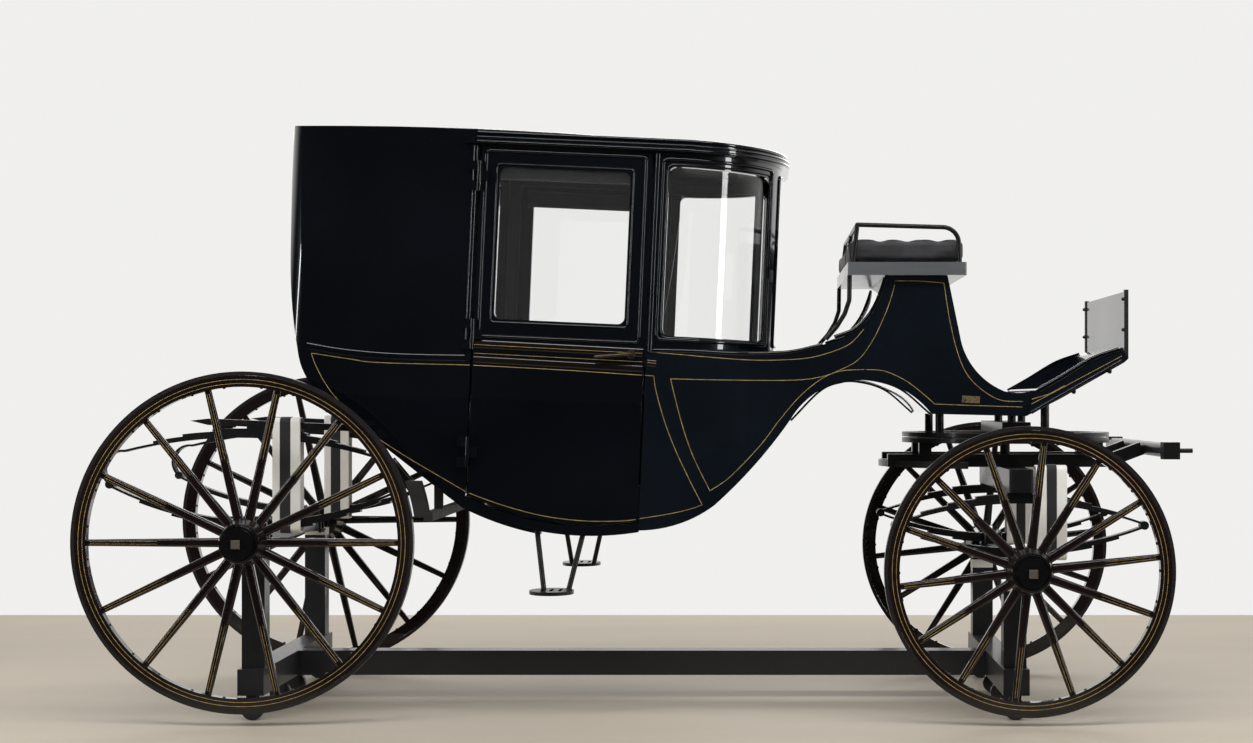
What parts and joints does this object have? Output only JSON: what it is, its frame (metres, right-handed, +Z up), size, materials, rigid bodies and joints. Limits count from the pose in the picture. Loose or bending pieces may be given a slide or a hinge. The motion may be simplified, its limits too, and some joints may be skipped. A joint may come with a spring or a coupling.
{
  "type": "horse drawn carriage",
  "caption": "Closed four-wheeled horse drawn carriage with a round glazed front, driver's box seat, opening doors, turning fore-carriage and spoked wheels, on its display stand.",
  "frame": {"origin": "middle of the overall box at the floor", "axes": "+X forward towards the splinter bar, +Y to the carriage's left, +Z up"},
  "size_m": [3.7598, 1.6286, 2.0534],
  "materials": {
    "coach_black": "deep gloss coach black",
    "slate_paint": "dull slate paint on wood",
    "dash_leather": "patent leather on a frame",
    "black_leather": "worn matte leather",
    "interior_cloth": "buttoned wool cloth",
    "interior_wood": "dark stained wood",
    "window_glass": "clear",
    "handle_brass": "tarnished polish",
    "gear_black": "worn black paint",
    "brake_wood": "weathered dark paint",
    "iron_tyre": "dark worn tyre",
    "wheel_maroon": "dark maroon paint with fine gold lines",
    "hub_black": "gloss black",
    "stand_steel": "dark grey powder coat",
    "stand_foam": "white foam",
    "caster_rubber": "black rubber"
  },
  "bodies": {
    "root": {"back_glass": "window_glass", "back_panel": "coach_black", "boot": "coach_black", "brake_gear": "brake_wood", "dashboard": "dash_leather", "driver_cushion": "black_leather", "driver_seat_board": "slate_paint", "front_frame": "coach_black", "front_glass": "window_glass", "passenger_backrest": "interior_cloth", "passenger_bench": "interior_wood", "passenger_cushion": "interior_cloth", "pump_handles": "gear_black", "quarter_glass_left": "window_glass", "quarter_glass_right": "window_glass", "rear_axle": "gear_black", "rear_quarter_left": "coach_black", "rear_quarter_right": "coach_black", "rear_springs": "gear_black", "roof": "coach_black", "seat_rail": "gear_black", "seat_stays": "gear_black", "stand_beams": "stand_steel", "stand_casters": "caster_rubber", "stand_legs": "stand_steel", "stand_pads": "stand_foam", "step_left": "gear_black", "step_right": "gear_black", "toe_board": "slate_paint", "turntable_upper": "gear_black", "underbody": "coach_black"},
    "door_right_body": {"door_right": "coach_black", "door_glass_right": "window_glass", "door_handle_right": "handle_brass"},
    "door_left_body": {"door_left": "coach_black", "door_glass_left": "window_glass", "door_handle_left": "handle_brass"},
    "fore_carriage": {"turntable_lower": "gear_black", "futchells": "gear_black", "front_bed": "gear_black", "front_springs": "gear_black", "front_axle": "gear_black", "splinter_bar": "gear_black"},
    "wheel_rear_right_body": {"tyre_rear_right": "iron_tyre", "wheel_rear_right": "wheel_maroon", "hub_cap_rear_right": "hub_black"},
    "wheel_rear_left_body": {"tyre_rear_left": "iron_tyre", "wheel_rear_left": "wheel_maroon", "hub_cap_rear_left": "hub_black"},
    "wheel_front_right_body": {"tyre_front_right": "iron_tyre", "wheel_front_right": "wheel_maroon", "hub_cap_front_right": "hub_black"},
    "wheel_front_left_body": {"tyre_front_left": "iron_tyre", "wheel_front_left": "wheel_maroon", "hub_cap_front_left": "hub_black"}
  },
  "joints": [
    {"name": "steering", "type": "hinge", "parent": "root", "child": "fore_carriage", "pos_m": [1.31, 0, 0.95], "axis": [0, 0, 1], "range_deg": [-50, 50]},
    {"name": "door_right_hinge", "type": "hinge", "parent": "root", "child": "door_right_body", "pos_m": [-0.56059, -0.598, 1.31509], "axis": [-0.0436, 0, -0.999], "range_deg": [0, 85]},
    {"name": "door_left_hinge", "type": "hinge", "parent": "root", "child": "door_left_body", "pos_m": [-0.56059, 0.598, 1.31509], "axis": [0.0436, 0, 0.999], "range_deg": [0, 85]},
    {"name": "wheel_rear_right_spin", "type": "hinge", "parent": "root", "child": "wheel_rear_right_body", "pos_m": [-1.31, -0.694, 0.612], "axis": [0, 1, 0], "continuous": true},
    {"name": "wheel_rear_left_spin", "type": "hinge", "parent": "root", "child": "wheel_rear_left_body", "pos_m": [-1.31, 0.694, 0.612], "axis": [0, 1, 0], "continuous": true},
    {"name": "wheel_front_right_spin", "type": "hinge", "parent": "fore_carriage", "child": "wheel_front_right_body", "pos_m": [1.31, -0.694, 0.515], "axis": [0, 1, 0], "continuous": true},
    {"name": "wheel_front_left_spin", "type": "hinge", "parent": "fore_carriage", "child": "wheel_front_left_body", "pos_m": [1.31, 0.694, 0.515], "axis": [0, 1, 0], "continuous": true}
  ]
}
